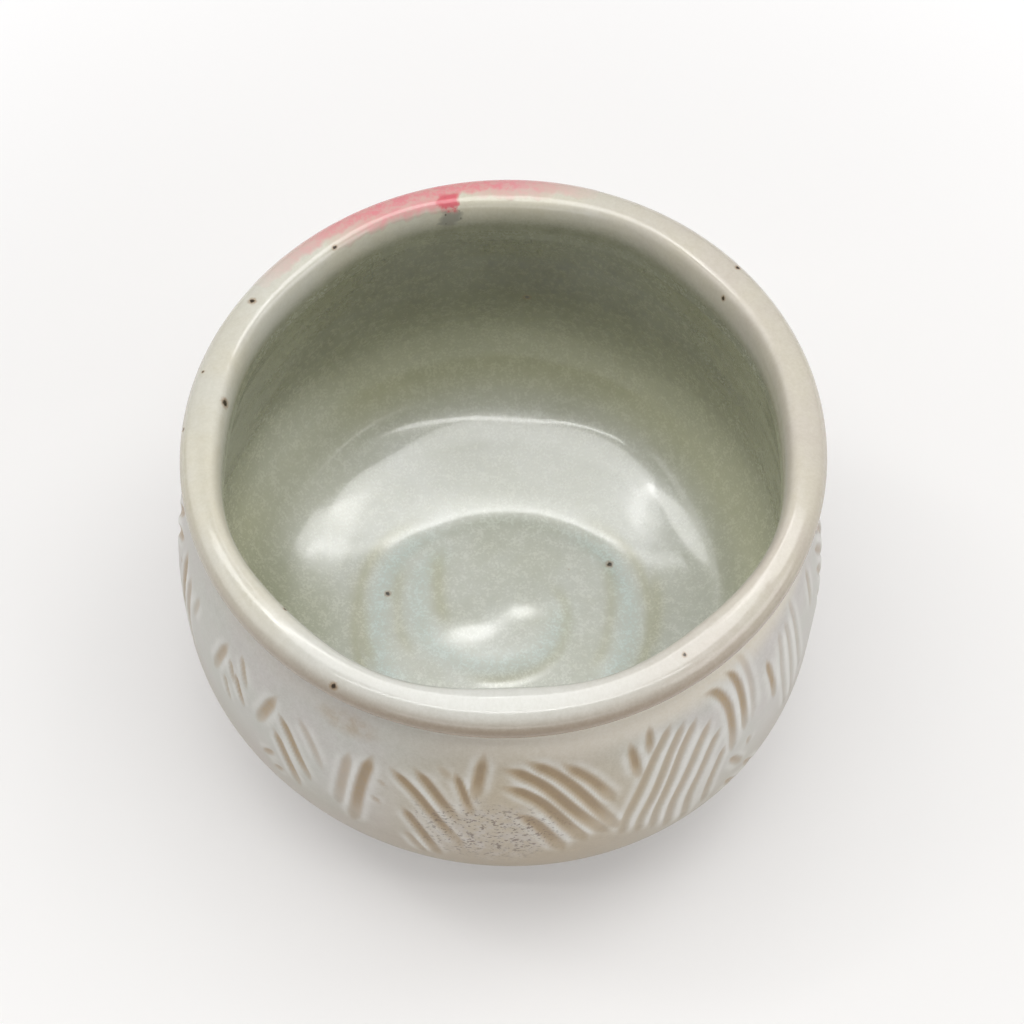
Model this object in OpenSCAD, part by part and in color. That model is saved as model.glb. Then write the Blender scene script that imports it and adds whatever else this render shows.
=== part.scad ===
// Hand-thrown stoneware tea bowl with a rolled lip, a carved shoulder band and a turned foot ring.
// Millimetres, +Z up. The origin is the centre of the flat face that the bowl rests on.
// +X is the right of the bowl and -Y its front, so the copper blush lies at the back left of the rim.

/* [Bowl] */
// Outer diameter of the rim, over the glaze
rim_d = 108; // [90:1:130]
// Height from the resting face to the crest of the lip
height = 76; // [70:0.5:90]
// How far the belly stands out beyond the rim, on the radius
belly_out = 3.1; // [2:0.1:6]
// Height of the widest line of the belly
belly_z = 31.8; // [29:0.2:36]
// Radius of the curve that runs from the belly down to the base
belly_curve = 24; // [20:0.5:26]
// Thickness of the wall at the belly and of the floor, with the glaze
wall = 5.5; // [4.5:0.1:7]

/* [Lip] */
// Thickness of the rolled lip
lip_w = 6.6; // [5:0.2:8]
// Depth of the upright face inside the lip, from the crest to where the wall hollows out
lip_face = 9.4; // [8:0.2:14]
// How far the neck lies inside the rim, on the radius
neck_in = 3; // [2.4:0.1:3.6]
// Depth of the neck below the crest of the lip
neck_drop = 10; // [9:0.5:14]
// Radius of the hollow that runs from the neck into the underside of the lip
neck_hollow = 4; // [3:0.5:6]

/* [Floor] */
// Diameter of the shallow dish in the floor
dish_d = 48; // [30:1:56]
// Depth of the dish
dish_depth = 1.5; // [1:0.1:2]

/* [Foot] */
// Outer diameter of the foot ring where it rests
foot_d = 56; // [46:1:60]
// Width of the resting face between its two bevels
foot_face = 4; // [3:0.2:6]
// Bevel on both edges of the resting face
foot_bevel = 0.8; // [0.4:0.1:1.2]
// How much wider the foot ring is at the top, on each side
foot_flare = 1; // [0.5:0.1:1.5]

/* [Glaze] */
// Thickness of the fired glaze
glaze = 0.5; // [0.4:0.1:0.8]
// Depth of the pale lip band below the crest
lip_band = 7.2; // [6.8:0.1:7.6]
// Width of the bare clay left outside the foot ring
bare_w = 8; // [3:0.5:10]

/* [Carving] */
// Pairs of hatch groups round the shoulder, each pair leaning left and then right
group_pairs = 6; // [4:1:6]
// Gouge strokes in one hatch group
strokes = 4; // [2:1:4]
// Angle of the gouge that cut the strokes
gouge_angle = 100; // [80:5:110]
// Depth of a stroke at its middle
stroke_depth = 0.9; // [0.6:0.05:1]
// Spacing of the strokes along the shoulder
stroke_gap = 4.2; // [4:0.1:4.6]
// Lean of the strokes from upright, in degrees
stroke_lean = 24; // [16:1:28]
// Height of the middle of the carved band
carve_z = 50; // [48:0.5:52]

/* [Copper blush] */
// Thickness of the copper stain in the lip glaze
blush_t = 0.2; // [0.1:0.05:0.3]
// Angle at which the stain starts, from the right of the bowl
blush_from = 76; // [0:1:359]
// Angle over which the stain spreads
blush_sweep = 62; // [20:1:120]

/* [Hidden] */
$fn = 96;
// Derived radii and centres are kept to hundredths, so that faces which meet share them exactly.
function snap(v) = round(v * 100) / 100;

rim_r = rim_d / 2;
belly_r = rim_r + belly_out;
lip_r = lip_w / 2;
lip_x = rim_r - lip_r;
lip_z = height - lip_r;
lip_in = rim_r - lip_w;
face_z = height - lip_face;
split_z = height - lip_band;

// Above the belly the wall stands upright, then closes in on a ball-shaped shoulder to the neck.
neck_x = rim_r - neck_in;
neck_z = height - neck_drop;
shoulder_z = snap(neck_z - sqrt(belly_r * belly_r - neck_x * neck_x));

// The hollow wall inside is one arc, upright at the belly and through the lower edge of the lip face.
hollow_in = belly_r - wall - lip_in;
hollow_up = face_z - belly_z;
hollow_r = snap((hollow_in * hollow_in + hollow_up * hollow_up) / (2 * hollow_in));
hollow_x = belly_r - wall - hollow_r;

// The base and the floor are flat between the lower curves.
base_x = belly_r - belly_curve;
base_z = belly_z - belly_curve;
floor_z = base_z + wall;
inner_curve = belly_curve - wall;
foot_h = base_z + glaze;

// The dish is a shallow cap centred on the axis.
dish_x = dish_d / 2;
dish_r = snap((dish_x * dish_x + dish_depth * dish_depth) / (2 * dish_depth));
dish_z = snap(floor_z - dish_depth + dish_r);

// The neck hollow runs a little into the shoulder and the lip, so that its ends cross them.
bite = 0.03;
hollow_to_lip = lip_r + neck_hollow - bite;
hollow_to_shoulder = belly_r + neck_hollow - bite;
lip_reach = norm([lip_x, lip_z - shoulder_z]);
lip_bearing = atan2(lip_z - shoulder_z, lip_x);
hollow_cos = (lip_reach * lip_reach + hollow_to_shoulder * hollow_to_shoulder
    - hollow_to_lip * hollow_to_lip) / (2 * lip_reach * hollow_to_shoulder);
hollow_bearing = lip_bearing - acos(hollow_cos);
neck_c = [snap(hollow_to_shoulder * cos(hollow_bearing)),
    snap(shoulder_z + hollow_to_shoulder * sin(hollow_bearing))];

// The core of the neck reaches this far in.
core_x = lip_in + 0.4 * lip_r;

// Carving: strokes lie on the ball of the shoulder, and each group has its own share of the round.
carve_tip = asin((carve_z - shoulder_z) / belly_r);
stroke_step = stroke_gap / (belly_r * cos(carve_tip)) * 180 / PI;
stroke_len = 30;
gouge_side = [3, 3 * tan(gouge_angle / 2)];

// Half-section of the bowl filled in, set back by t from the finished surface.
module filled(t) {
    intersection() {
        translate([0, shoulder_z]) circle(r = belly_r - t);
        translate([0, shoulder_z]) square([2 * belly_r, lip_z - shoulder_z]);
    }
    translate([0, belly_z]) square([belly_r - t, shoulder_z - belly_z]);
    intersection() {
        translate([base_x, belly_z]) circle(r = belly_curve - t);
        translate([base_x, belly_z - 2 * belly_curve]) square(2 * belly_curve);
    }
    translate([0, base_z + t]) square([base_x, belly_curve - t]);
}

// Neck between the shoulder and the lip, hollowed on the outside.
module neck(t) {
    to_shoulder = [-neck_c[0], shoulder_z - neck_c[1]];
    to_lip = [lip_x - neck_c[0], lip_z - neck_c[1]];
    reach = neck_hollow + 1.2;
    top = neck_c + reach * to_lip / norm(to_lip);
    low = neck_c + reach * to_shoulder / norm(to_shoulder);
    difference() {
        polygon([neck_c, top, [core_x, top[1]], [core_x, low[1]], low]);
        translate(neck_c) circle(r = neck_hollow + t);
    }
}

// Half-section of the rolled lip, in two parts so that it meets the wall on straight lines.
module lip(t) {
    intersection() {
        translate([lip_x, lip_z]) circle(r = lip_r - t);
        translate([lip_x - 2 * lip_r, lip_z]) square(4 * lip_r);
    }
    intersection() {
        translate([lip_x, lip_z]) circle(r = lip_r - t);
        translate([lip_x - 0.7 * lip_r, lip_z - 4 * lip_r]) square(4 * lip_r);
    }
}

// Half-section of the hollow inside, grown by t.
module hollow(t) {
    translate([0, belly_z]) square([lip_in + t, height - belly_z]);
    intersection() {
        translate([hollow_x, belly_z]) circle(r = hollow_r + t);
        translate([0, belly_z]) square([2 * belly_r, lip_z - belly_z]);
    }
    intersection() {
        translate([base_x, belly_z]) circle(r = inner_curve + t);
        translate([base_x, belly_z - 2 * belly_curve]) square(2 * belly_curve);
    }
    translate([0, floor_z - t]) square([base_x, inner_curve + t]);
    intersection() {
        translate([0, dish_z]) circle(r = dish_r + t);
        translate([0, floor_z - 4]) square([dish_d, 4.5 - t]);
    }
}

// Half-section of the bowl, set back by t on every side.
module section(t) {
    difference() {
        union() {
            filled(t);
            neck(t);
            translate([lip_in, neck_z]) square([0.6 * lip_r, lip_z - neck_z]);
        }
        hollow(t);
    }
    lip(t);
}

// All gouge strokes, as wedges that dip into the shoulder and leave it again at both ends.
module gouge(extra) {
    for (pair = [0 : group_pairs - 1], side = [0, 1], k = [0 : strokes - 1]) {
        turn = (pair + side / 2 + 0.25) * 360 / group_pairs + (k - (strokes - 1) / 2) * stroke_step;
        tip = stroke_depth + extra / sin(gouge_angle / 2);
        rotate([0, 0, turn])
            translate([0, 0, shoulder_z])
                rotate([0, -carve_tip, 0])
                    translate([belly_r - tip, 0, 0])
                        rotate([side == 0 ? stroke_lean : -stroke_lean, 0, 0])
                            linear_extrude(height = stroke_len, center = true)
                                polygon([[0, 0], gouge_side, [gouge_side[0], -gouge_side[1]]]);
    }
}

// Thrown and carved stoneware, from the base to the core of the lip.
module clay_body() {
    color("#a58a72")
        difference() {
            rotate_extrude() section(glaze);
            gouge(glaze);
        }
}

// Turned ring of bare clay that the bowl stands on.
module foot_ring() {
    out_r = foot_d / 2;
    in_r = out_r - foot_face - 2 * foot_bevel;
    color("#8d6f58")
        rotate_extrude()
            polygon([
                [in_r + foot_bevel, 0],
                [out_r - foot_bevel, 0],
                [out_r, foot_bevel],
                [out_r + foot_flare, foot_h],
                [in_r - foot_flare, foot_h],
                [in_r, foot_bevel]
            ]);
}

// Celadon lining from the floor up to the lip band.
module inside_glaze() {
    color("#8f9a84")
        rotate_extrude()
            intersection() {
                difference() {
                    hollow(glaze);
                    hollow(0);
                }
                square([2 * belly_r, split_z]);
            }
}

// Pale glaze over the shoulder, the carving and the belly, ending above the foot ring.
module outside_glaze() {
    color("#d5d0c8")
        difference() {
            rotate_extrude()
                intersection() {
                    difference() {
                        union() {
                            filled(0);
                            neck(0);
                        }
                        filled(2.4);
                        hollow(glaze);
                    }
                    translate([foot_d / 2 + foot_flare + bare_w, 0]) square([2 * belly_r, split_z]);
                }
            gouge(0);
            clay_body();
        }
}

// Section of the copper stain, on the crest and the outer side of the lip.
module blush_section() {
    intersection() {
        difference() {
            translate([lip_x, lip_z]) circle(r = lip_r);
            translate([lip_x, lip_z]) circle(r = lip_r - blush_t);
        }
        translate([lip_x - lip_r / 2, lip_z - lip_r / 4]) square(2 * lip_r);
    }
}

// Cream band where the two glazes overlap on the lip.
module lip_glaze() {
    color("#ece4d6")
        difference() {
            rotate_extrude()
                intersection() {
                    difference() {
                        section(0);
                        section(glaze);
                    }
                    translate([0, split_z]) square([2 * belly_r, lip_band + 1]);
                }
            copper_blush();
        }
}

// Copper-red stain brushed along the back left of the lip.
module copper_blush() {
    color("#b5685e")
        rotate([0, 0, blush_from]) rotate_extrude(angle = blush_sweep) blush_section();
}

clay_body();
foot_ring();
inside_glaze();
outside_glaze();
lip_glaze();
copper_blush();
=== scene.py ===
"""Looks of a hand-thrown tea bowl: thrown shells, carved hatching, glazes and a copper blush."""

import logging
import math
from dataclasses import dataclass, field
from enum import Enum

import bpy
import numpy as np
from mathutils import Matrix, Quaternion, Vector


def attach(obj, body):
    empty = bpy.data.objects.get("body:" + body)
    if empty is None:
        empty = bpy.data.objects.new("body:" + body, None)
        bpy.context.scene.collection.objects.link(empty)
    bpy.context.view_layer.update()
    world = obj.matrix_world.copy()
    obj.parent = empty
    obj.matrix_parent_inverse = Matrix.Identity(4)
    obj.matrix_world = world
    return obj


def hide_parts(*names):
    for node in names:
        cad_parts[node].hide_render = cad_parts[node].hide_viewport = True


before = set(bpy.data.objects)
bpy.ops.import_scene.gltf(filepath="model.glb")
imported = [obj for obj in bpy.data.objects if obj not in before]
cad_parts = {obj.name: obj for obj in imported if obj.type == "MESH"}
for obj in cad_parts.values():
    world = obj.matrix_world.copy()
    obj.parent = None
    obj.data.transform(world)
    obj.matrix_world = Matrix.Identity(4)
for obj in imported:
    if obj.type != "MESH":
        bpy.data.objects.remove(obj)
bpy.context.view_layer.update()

LOG = logging.getLogger("tea_bowl")
MM = 0.001
# Height of the flat base and thickness of a glaze in mm, and the angle of the front carving in degrees
BASE_HEIGHT = 8.3
GLAZE_THICK = 0.45
FRONT_MIDDLE = 6.5
# Distances within which points of an outline and of a seam are one, in metres
OUTLINE_MERGE = 2e-6
SEAM_MERGE = 1e-6
Point = tuple[float, float]
Spot = tuple[float, float, float]
Colour = tuple[float, float, float, float]


class Slot(Enum):
    """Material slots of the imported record."""

    STONEWARE = "stoneware"
    FOOT_CLAY = "foot_clay"
    CELADON = "celadon"
    PALE_GLAZE = "pale_glaze"
    CREAM_GLAZE = "cream_glaze"
    COPPER_RED = "copper_red"


def shade(red: int, green: int, blue: int) -> Colour:
    """Turns a colour as seen on a screen into the linear colour that a shader takes.

    Args:
        red: Red, 0 to 255.
        green: Green, 0 to 255.
        blue: Blue, 0 to 255.

    Returns:
        The linear colour with full alpha.
    """
    parts = [c / 255.0 for c in (red, green, blue)]
    linear = [c / 12.92 if c <= 0.04045 else ((c + 0.055) / 1.055) ** 2.4 for c in parts]
    return (*linear, 1.0)


def arc(centre: Point, radius: float, start: float, end: float, step: float) -> list[Point]:
    """Lays points along a circular arc of the half-section.

    Args:
        centre: Centre as radius and height, in mm.
        radius: Radius of the arc, in mm.
        start: First angle, in degrees from the outward direction.
        end: Last angle, in degrees.
        step: Longest distance between points, in mm.

    Returns:
        The points, both ends included.
    """
    count = max(2, math.ceil(abs(math.radians(end - start)) * radius / step))
    turns = [math.radians(start + (end - start) * i / count) for i in range(count + 1)]
    return [(centre[0] + radius * math.cos(t), centre[1] + radius * math.sin(t)) for t in turns]


def line(first: Point, last: Point, step: float) -> list[Point]:
    """Lays points along a straight run of the half-section.

    Args:
        first: First point as radius and height, in mm.
        last: Last point, in mm.
        step: Longest distance between points, in mm.

    Returns:
        The points, both ends included.
    """
    count = max(1, math.ceil(math.dist(first, last) / step))
    run, rise = last[0] - first[0], last[1] - first[1]
    return [(first[0] + run * i / count, first[1] + rise * i / count) for i in range(count + 1)]


def join(*runs: list[Point]) -> list[Point]:
    """Joins runs of points end to end, leaving out points that meet.

    Args:
        *runs: The runs, in order.

    Returns:
        One run of points.
    """
    out: list[Point] = []
    for run in runs:
        out += [p for i, p in enumerate(run) if i or not out or math.dist(p, out[-1]) > 0.12]
    return out


def ease(low: float, high: float, value: np.ndarray) -> np.ndarray:
    """Smooth step of the values, from 0 at low to 1 at high."""
    t = np.clip((value - low) / (high - low), 0.0, 1.0)
    return t * t * (3.0 - 2.0 * t)


def aside(angle: np.ndarray, middle: float) -> np.ndarray:
    """How far angles lie to the side of a middle one, from -180 to 180 degrees."""
    return (angle - middle + 180.0) % 360.0 - 180.0


@dataclass(frozen=True)
class BowlForm:
    """Half-section of the bowl, as radius and height in mm."""

    belly_centre: Point = (33.1, 31.8)
    belly_curve: float = 24.0
    belly_radius: float = 57.1
    ball_height: float = 40.32
    neck_centre: Point = (55.0, 66.85)
    neck_curve: float = 4.0
    bead_centre: Point = (50.7, 72.7)
    bead: float = 3.3
    split_height: float = 68.8
    throat: float = 47.4
    throat_foot: float = 66.6
    wall_centre: Point = (-94.67, 31.8)
    wall_curve: float = 146.27
    corner_centre: Point = (31.223, 34.375)
    corner_curve: float = 20.377
    rise_centre: Point = (14.971, 102.074)
    rise_curve: float = 90.0
    valley_centre: Point = (20.941, 42.371)
    valley_curve: float = 30.0
    dome_centre: Point = (0.0, -2051.6)
    dome_curve: float = 2064.1
    belly_seam: float = -32.0
    glaze_edge: float = -80.65

    def belly(self, step: float, inset: float = 0.0) -> list[Point]:
        """Line from the lower glaze edge up to the seam under the carving."""
        return arc(self.belly_centre, self.belly_curve - inset, self.glaze_edge, self.belly_seam, step)

    def shoulder(self, step: float, inset: float = 0.0) -> list[Point]:
        """Line from the seam over the carved shoulder and the neck to the lip band.

        Args:
            step: Longest distance between points, in mm.
            inset: How far the line lies under the surface, in mm.

        Returns:
            The points of the line.
        """
        side = self.belly_radius - inset
        return join(
            arc(self.belly_centre, self.belly_curve - inset, self.belly_seam, 0.0, step),
            line((side, self.belly_centre[1]), (side, self.ball_height), step),
            arc((0.0, self.ball_height), side, 0.0, 25.74, step),
            arc(self.neck_centre, self.neck_curve + inset, 205.9, 150.83, step),
        )

    def lip(self, step: float, inset: float = 0.0) -> list[Point]:
        """Line from the neck over the rolled lip to the end of its band inside.

        Args:
            step: Longest distance between points, in mm.
            inset: How far the line lies under the surface, in mm.

        Returns:
            The points of the line.
        """
        face = self.throat + inset
        return join(
            arc(self.neck_centre, self.neck_curve + inset, 150.83, 126.4, step),
            arc(self.bead_centre, self.bead - inset, -53.8, 180.0, step),
            line((face, self.bead_centre[1]), (face, self.split_height), step),
        )

    def lining(self, step: float, inset: float = 0.0) -> list[Point]:
        """Line from the lip band down the inside to the middle of the floor.

        Args:
            step: Longest distance between points, in mm.
            inset: How far the line lies under the surface, in mm.

        Returns:
            The points of the line.
        """
        face = self.throat + inset
        return join(
            line((face, self.split_height), (face, self.throat_foot), step),
            arc(self.wall_centre, self.wall_curve + inset, 13.76, 1.01, step),
            arc(self.corner_centre, self.corner_curve + inset, 0.0, -76.5, step),
            arc(self.rise_centre, self.rise_curve + inset, -76.5, -84.29, step),
            arc(self.valley_centre, self.valley_curve + inset, -84.29, -90.573, step),
            arc(self.dome_centre, self.dome_curve - inset, 89.427, 90.0, step),
        )


@dataclass(frozen=True)
class HandWobble:
    """Unevenness of the thrower's hand, shared by every shell above the foot."""

    tilt: float = math.tan(math.radians(1.81))
    tilt_from: float = 31.8
    tilt_span: float = 44.2
    body: tuple[tuple[int, float, float], ...] = ((2, 0.45, 38.0), (3, 0.38, 40.0))
    finger: tuple[tuple[int, float, float], ...] = ((3, 0.25, -42.0), (8, 0.3, 21.0), (5, 0.18, 70.0))
    bulge: Spot = (4.0, 0.9, 15.0)

    @staticmethod
    def waves(terms: tuple[tuple[int, float, float], ...], angle: np.ndarray) -> np.ndarray:
        """Adds up waves round the bowl.

        Args:
            terms: Waves round, size in mm and the angle of a crest in degrees, for each wave.
            angle: Angle of each vertex, in degrees.

        Returns:
            The sum, in mm.
        """
        total = np.zeros_like(angle)
        for count, size, crest in terms:
            total += size * np.cos(np.radians(count * (angle - crest)))
        return total

    def shift(self, angle: np.ndarray, radius: np.ndarray, height: np.ndarray) -> tuple[np.ndarray, np.ndarray]:
        """Moves vertices as an uneven hand would.

        Args:
            angle: Angle round the bowl, in degrees from the front.
            radius: Radius, in mm.
            height: Height, in mm.

        Returns:
            The new radius and height.
        """
        body = self.waves(self.body, angle) * ease(11.0, 26.0, height) * (1.0 - 0.75 * ease(56.0, 72.0, height))
        inner = 1.0 - ease(48.0, 51.2, radius)
        near, depth, width = self.bulge
        bulge = depth * np.exp(-((aside(angle, near) / width) ** 2))
        finger = (self.waves(self.finger, angle) - bulge) * inner * ease(56.0, 68.0, height)
        near_axis = ease(2.0, 20.0, radius)
        new_radius = radius + (body + finger) * near_axis
        lift = self.tilt * radius * np.sin(np.radians(angle))
        return new_radius, height + lift * np.clip((height - self.tilt_from) / self.tilt_span, 0.0, 1.0)


@dataclass
class Turned:
    """A spun shell with the thrower's coordinates of each of its vertices."""

    obj: bpy.types.Object
    line: np.ndarray
    row: np.ndarray
    skin: np.ndarray
    angle: np.ndarray
    radius: np.ndarray
    height: np.ndarray
    lean: np.ndarray
    along: np.ndarray

    def mark(self, name: str, values: np.ndarray) -> None:
        """Stores one number a vertex for the finish to read.

        Args:
            name: Name of the attribute.
            values: The numbers.
        """
        layer = self.obj.data.attributes.new(name, "FLOAT", "POINT")
        layer.data.foreach_set("value", np.ascontiguousarray(values, np.float32))

    def keep_place(self) -> None:
        """Stores where each vertex is now, in mm, for the finish to read."""
        turn = np.radians(self.angle)
        thrown = np.stack([self.radius * np.sin(turn), -self.radius * np.cos(turn), self.height], 1)
        layer = self.obj.data.attributes.new("place", "FLOAT_VECTOR", "POINT")
        layer.data.foreach_set("vector", thrown.astype(np.float32).ravel())

    def settle(self, wobble: HandWobble | None, raised: np.ndarray | float = 0.0) -> None:
        """Moves the vertices to their final places.

        Args:
            wobble: The hand's unevenness, or None for a piece that was turned true.
            raised: Move of each vertex out along its surface, in mm.
        """
        turn = np.radians(self.angle)
        radius, height = self.radius, self.height
        if wobble:
            radius, height = wobble.shift(self.angle, radius, height)
        radius = np.maximum(radius + raised * self.lean[:, 0], 0.0)
        height = height + raised * self.lean[:, 1]
        place = np.stack([radius * np.sin(turn), -radius * np.cos(turn), height], 1) * MM
        self.obj.data.vertices.foreach_set("co", place.astype(np.float32).ravel())
        self.obj.data.update()


class Wheel:
    """Throws closed shells: an outline is drawn point by point and turned round the axis."""

    @staticmethod
    def clear() -> None:
        """Deselects everything."""
        if bpy.context.object and bpy.context.object.mode != "OBJECT":
            bpy.ops.object.mode_set(mode="OBJECT")
        bpy.ops.object.select_all(action="DESELECT")

    @staticmethod
    def throw(
        name: str, skin: list[Point], back: list[Point], columns: int, keep: Point | None = None
    ) -> Turned:
        """Draws an outline from one small face, turns it round the axis and closes the seam.

        Args:
            name: Name of the piece.
            skin: Visible line as radius and height, in mm.
            back: Hidden line that leads back to the start of the skin, in mm.
            columns: Steps round the axis.
            keep: Angles between which the shell is kept, in degrees from 0 to 360, or None for all of it.

        Returns:
            The shell with its coordinates.
        """
        outline = skin + back
        Wheel.clear()
        bpy.ops.mesh.primitive_plane_add(size=MM, location=(0.0, 0.0, 0.0))
        obj = bpy.context.object
        obj.name = obj.data.name = name
        bpy.ops.object.mode_set(mode="EDIT")
        bpy.ops.mesh.select_all(action="SELECT")
        bpy.ops.mesh.merge(type="CENTER")
        bpy.ops.transform.translate(value=(outline[0][0] * MM, 0.0, outline[0][1] * MM))
        for (r0, z0), (r1, z1) in zip(outline, outline[1:] + outline[:1]):
            step = ((r1 - r0) * MM, 0.0, (z1 - z0) * MM)
            bpy.ops.mesh.extrude_region_move(TRANSFORM_OT_translate={"value": step})
        bpy.ops.mesh.select_all(action="SELECT")
        bpy.ops.mesh.remove_doubles(threshold=OUTLINE_MERGE)
        bpy.ops.object.mode_set(mode="OBJECT")
        turn = obj.modifiers.new("turn", "SCREW")
        turn.axis, turn.angle, turn.screw_offset = "Z", math.tau, 0.0
        turn.steps = turn.render_steps = columns
        bpy.ops.object.modifier_apply(modifier=turn.name)
        bpy.ops.object.mode_set(mode="EDIT")
        bpy.ops.mesh.select_all(action="SELECT")
        bpy.ops.mesh.remove_doubles(threshold=SEAM_MERGE)
        bpy.ops.mesh.select_all(action="SELECT")
        bpy.ops.mesh.delete_loose(use_verts=True, use_edges=True, use_faces=False)
        if keep:
            Wheel.trim(obj, keep)
        bpy.ops.mesh.select_all(action="SELECT")
        bpy.ops.mesh.normals_make_consistent(inside=False)
        bpy.ops.object.mode_set(mode="OBJECT")
        bpy.ops.object.shade_smooth()
        return Wheel.read(obj, np.array(outline), len(skin))

    @staticmethod
    def trim(obj: bpy.types.Object, keep: Point) -> None:
        """Cuts a turned shell down to a sector and closes its two ends.

        Args:
            obj: The object, in edit mode.
            keep: Angles between which it is kept, in degrees from 0 to 360.
        """
        bpy.ops.mesh.select_mode(type="VERT")
        bpy.ops.object.mode_set(mode="OBJECT")
        co = np.empty(len(obj.data.vertices) * 3, np.float32)
        obj.data.vertices.foreach_get("co", co)
        angle = np.degrees(np.arctan2(co[0::3], -co[1::3])) % 360.0
        obj.data.vertices.foreach_set("select", (angle < keep[0]) | (angle > keep[1]))
        bpy.ops.object.mode_set(mode="EDIT")
        bpy.ops.mesh.delete(type="VERT")
        bpy.ops.mesh.select_all(action="SELECT")
        bpy.ops.mesh.fill_holes(sides=0)

    @staticmethod
    def read(obj: bpy.types.Object, outline: np.ndarray, skin_count: int) -> Turned:
        """Finds the thrower's coordinates of a spun shell and sharpens its hidden corners.

        Args:
            obj: The spun object.
            outline: The outline that was spun, in mm.
            skin_count: How many of its points are on the visible skin.

        Returns:
            The shell with its coordinates.
        """
        mesh = obj.data
        co = np.empty(len(mesh.vertices) * 3, np.float32)
        mesh.vertices.foreach_get("co", co)
        co = co.reshape(-1, 3).astype(float) / MM
        radius = np.hypot(co[:, 0], co[:, 1])
        row = np.empty(len(co), int)
        for start in range(0, len(co), 20000):
            part = slice(start, start + 20000)
            gap = (radius[part, None] - outline[None, :, 0]) ** 2 + (co[part, 2:3] - outline[None, :, 1]) ** 2
            row[part] = gap.argmin(1)
        skin_line = outline[:skin_count]
        run = np.gradient(skin_line, axis=0)
        run /= np.linalg.norm(run, axis=1)[:, None]
        lean = np.zeros_like(outline)
        lean[:skin_count] = np.stack([run[:, 1], -run[:, 0]], 1)
        along = np.zeros(len(outline))
        along[1:skin_count] = np.cumsum(np.linalg.norm(np.diff(skin_line, axis=0), axis=1))
        pairs = np.empty(len(mesh.edges) * 2, np.int32)
        mesh.edges.foreach_get("vertices", pairs)
        rows = row[pairs.reshape(-1, 2)]
        corners = [c for c in (0, skin_count - 1) if outline[c, 0] > 0.5]
        sharp = np.isin(rows[:, 0], corners) & (rows[:, 0] == rows[:, 1])
        mesh.edges.foreach_set("use_edge_sharp", sharp)
        angle = np.degrees(np.arctan2(co[:, 0], -co[:, 1]))
        angle[radius < 1e-3] = 0.0
        shell = Turned(obj, outline, row, row < skin_count, angle, radius, co[:, 2], lean[row], along[row])
        shell.keep_place()
        return shell


def smooth_path(points: np.ndarray, count: int = 9) -> np.ndarray:
    """Runs a smooth curve through points.

    Args:
        points: The points, one a row.
        count: Samples from one point to the next.

    Returns:
        The samples, one a row.
    """
    ends = np.vstack([2 * points[0] - points[1], points, 2 * points[-1] - points[-2]])
    t = np.linspace(0.0, 1.0, count, endpoint=False)[:, None]
    runs = []
    for p0, p1, p2, p3 in zip(ends, ends[1:], ends[2:], ends[3:]):
        curve = 2 * p1 + (p2 - p0) * t + (2 * p0 - 5 * p1 + 4 * p2 - p3) * t**2 + (3 * p1 - p0 - 3 * p2 + p3) * t**3
        runs.append(0.5 * curve)
    return np.vstack(runs + [points[-1:]])


def to_path(spots: np.ndarray, path: np.ndarray) -> tuple[np.ndarray, np.ndarray, float]:
    """Measures how far spots lie from a path.

    Args:
        spots: The spots, one a row.
        path: The path's points, one a row.

    Returns:
        The distance of each spot, its place along the path, and the path's length.
    """
    start, run = path[:-1], np.diff(path, axis=0)
    length = np.linalg.norm(run, axis=1)
    total = np.concatenate([[0.0], np.cumsum(length)])
    t = np.einsum("ijk,jk->ij", spots[:, None] - start[None], run) / np.maximum(length**2, 1e-12)
    t = np.clip(t, 0.0, 1.0)
    off = spots[:, None] - (start[None] + t[..., None] * run[None])
    gap = np.linalg.norm(off, axis=2)
    best = gap.argmin(1)
    pick = np.arange(len(spots))
    return gap[pick, best], total[best] + t[pick, best] * length[best], float(total[-1])


@dataclass(frozen=True)
class Stroke:
    """One pull of the gouge."""

    path: tuple[Point, ...]
    width: float = 2.2
    depth: float = 0.75
    warmth: float = 1.0

    def turned(self, middle: float, mirror: bool, drop: float) -> "Stroke":
        """Copies the stroke to another side of the bowl.

        Args:
            middle: Angle at which the copied group is centred, in degrees.
            mirror: Whether the group leans the other way.
            drop: How much lower the copy lies, in mm.

        Returns:
            The copied stroke.
        """
        sign = -1.0 if mirror else 1.0
        path = tuple((middle + sign * (a - FRONT_MIDDLE), z - drop) for a, z in self.path)
        return Stroke(path, self.width, self.depth, self.warmth)


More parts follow.
